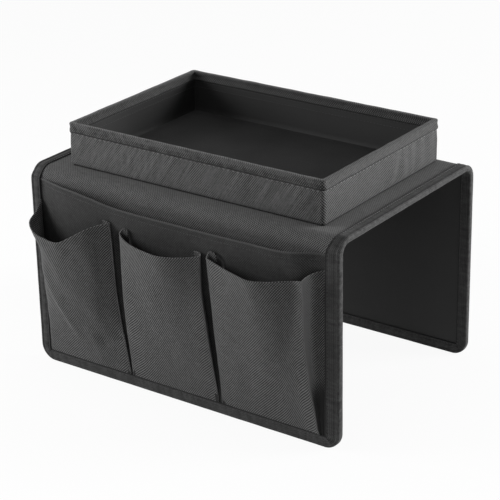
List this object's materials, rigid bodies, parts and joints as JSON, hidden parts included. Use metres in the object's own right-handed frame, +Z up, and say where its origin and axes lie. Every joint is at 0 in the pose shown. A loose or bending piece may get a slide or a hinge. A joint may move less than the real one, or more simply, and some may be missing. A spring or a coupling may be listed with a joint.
{
  "type": "sofa arm tray",
  "caption": "Fabric saddle for a sofa arm with a shallow tray on top, pleated front pockets over a wide flat pocket, and side panels that fold on soft folds.",
  "frame": {"origin": "centre of the bounding box's bottom face, on the surface that the side panels stand on", "axes": "+X along the sofa arm, -Y to the side with the pockets, +Z up through the tray"},
  "size_m": [0.305, 0.2326, 0.213],
  "materials": {
    "woven_fabric": "matt charcoal polyester with a fine dotted weave",
    "lining": "smooth near-black polyester",
    "edge_tape": "matt charcoal folded tape, stitched",
    "stiffener": "grey-brown board, hidden inside the fabric"
  },
  "bodies": {
    "platform": {"back_fold_binding_left": "edge_tape", "back_fold_binding_right": "edge_tape", "back_fold_cover": "woven_fabric", "back_fold_lining": "lining", "front_fold_binding_left": "edge_tape", "front_fold_binding_right": "edge_tape", "front_fold_cover": "woven_fabric", "front_fold_lining": "lining", "top_binding_left": "edge_tape", "top_binding_right": "edge_tape", "top_board": "stiffener", "top_cover": "woven_fabric", "top_lining": "lining", "tray_board_back": "stiffener", "tray_board_front": "stiffener", "tray_board_left": "stiffener", "tray_board_right": "stiffener", "tray_cover": "woven_fabric", "tray_floor_lining": "lining", "tray_hem": "edge_tape", "tray_lining": "lining"},
    "front_panel": {"front_binding": "edge_tape", "front_board": "stiffener", "front_cover": "woven_fabric", "front_lining": "lining", "magazine_pocket": "woven_fabric", "pocket_left": "woven_fabric", "pocket_middle": "woven_fabric", "pocket_right": "woven_fabric"},
    "back_panel": {"back_binding": "edge_tape", "back_board": "stiffener", "back_cover": "woven_fabric", "back_lining": "lining"}
  },
  "joints": [
    {"name": "front_fold", "type": "hinge", "parent": "platform", "child": "front_panel", "pos_m": [0, -0.08151, 0.17121], "axis": [1, 0, 0], "range_deg": [-90, 75], "deforming": ["front_fold_binding_left", "front_fold_binding_right", "front_fold_cover", "front_fold_lining"]},
    {"name": "back_fold", "type": "hinge", "parent": "platform", "child": "back_panel", "pos_m": [0, 0.11091, 0.17121], "axis": [-1, 0, 0], "range_deg": [-90, 90], "deforming": ["back_fold_binding_left", "back_fold_binding_right", "back_fold_cover", "back_fold_lining"]}
  ]
}
